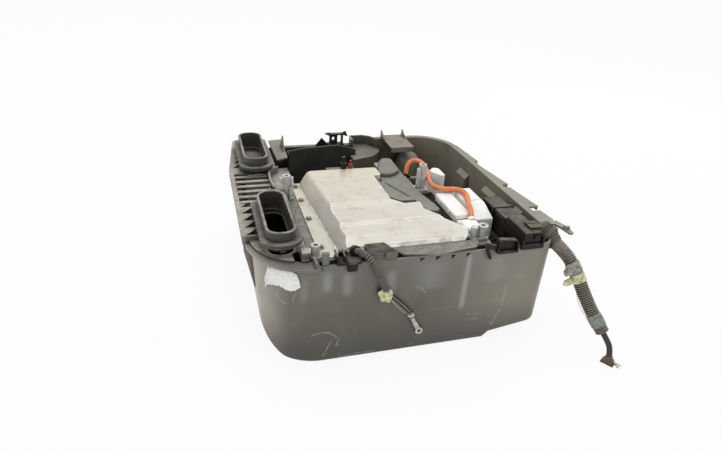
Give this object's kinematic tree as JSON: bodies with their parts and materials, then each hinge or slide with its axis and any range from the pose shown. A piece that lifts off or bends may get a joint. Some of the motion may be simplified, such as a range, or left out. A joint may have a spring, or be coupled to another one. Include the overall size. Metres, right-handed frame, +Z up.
{
  "type": "hybrid car battery",
  "caption": "Hybrid car battery in a deep black moulded tub with an air-duct deck, a stamped metal cover, white relay boxes and loose cables.",
  "frame": {"origin": "on the floor under the middle of the tub", "axes": "+Z up, +X towards the side where the cables leave, +Y towards the back"},
  "size_m": [0.6308, 0.6798, 0.245],
  "materials": {
    "tub_plastic": "moulded, scuffed",
    "duct_plastic": "moulded, dusty",
    "dark_plastic": "moulded",
    "bracket_plastic": "moulded, dusty",
    "cast_metal": "cast, dull",
    "cover_metal": "stamped, stained",
    "module_plastic": "moulded",
    "end_plate_plastic": "moulded",
    "copper": "bright",
    "board": "coated",
    "converter_metal": "cast",
    "grey_plastic": "moulded",
    "steel": "plated",
    "sheet_steel": "coated",
    "white_plastic": "moulded",
    "cap_plastic": "moulded",
    "orange_sheath": "smooth",
    "red_plastic": "moulded",
    "rubber_bell": "dusty",
    "conduit": "corrugated",
    "grey_tape": "worn",
    "yellow_tape": "worn",
    "black_sheath": "smooth",
    "bare_copper": "frayed",
    "tinned": "tinned",
    "label_paper": "crumpled"
  },
  "bodies": {
    "root": {"battery_cover": "cover_metal", "battery_tray": "cast_metal", "black_plug": "dark_plastic", "busbars": "copper", "cable_grommet": "rubber_bell", "cell_module_1": "module_plastic", "cell_module_2": "module_plastic", "cell_module_3": "module_plastic", "cell_module_4": "module_plastic", "cell_module_5": "module_plastic", "cell_module_6": "module_plastic", "cell_monitor_board": "board", "connector_block": "dark_plastic", "control_box": "dark_plastic", "control_box_clips": "dark_plastic", "corner_hook": "tub_plastic", "cover_screws": "steel", "duct_deck": "duct_plastic", "earth_clip": "dark_plastic", "earth_conduit": "conduit", "earth_tape": "yellow_tape", "earth_wire": "black_sheath", "electronics_cover": "grey_plastic", "electronics_lid": "grey_plastic", "end_plates": "end_plate_plastic", "exhaust_duct": "dark_plastic", "frayed_strands": "bare_copper", "front_air_duct": "dark_plastic", "front_bridge": "dark_plastic", "front_duct_collar": "dark_plastic", "front_left_post": "cast_metal", "front_right_post": "cast_metal", "fuse_box": "white_plastic", "fuse_box_lid": "white_plastic", "harness_conduit": "conduit", "harness_tail": "black_sheath", "harness_tapes": "grey_tape", "harness_yellow_tape": "yellow_tape", "hv_cable": "orange_sheath", "hv_plug": "white_plastic", "hv_socket": "dark_plastic", "junction_box": "white_plastic", "power_converter": "converter_metal", "rear_air_duct": "dark_plastic", "rear_bracket": "tub_plastic", "rear_clip": "dark_plastic", "rear_duct_collar": "dark_plastic", "rear_left_bracket": "bracket_plastic", "rear_left_post": "cast_metal", "rear_right_post": "cast_metal", "red_plug": "red_plastic", "relay_box": "white_plastic", "rim_pocket": "dark_plastic", "ring_terminal": "tinned", "sense_connector": "grey_plastic", "service_cap": "cap_plastic", "side_bracket": "sheet_steel", "torn_boot": "dark_plastic", "torn_label": "label_paper", "tub": "tub_plastic"}
  },
  "joints": []
}
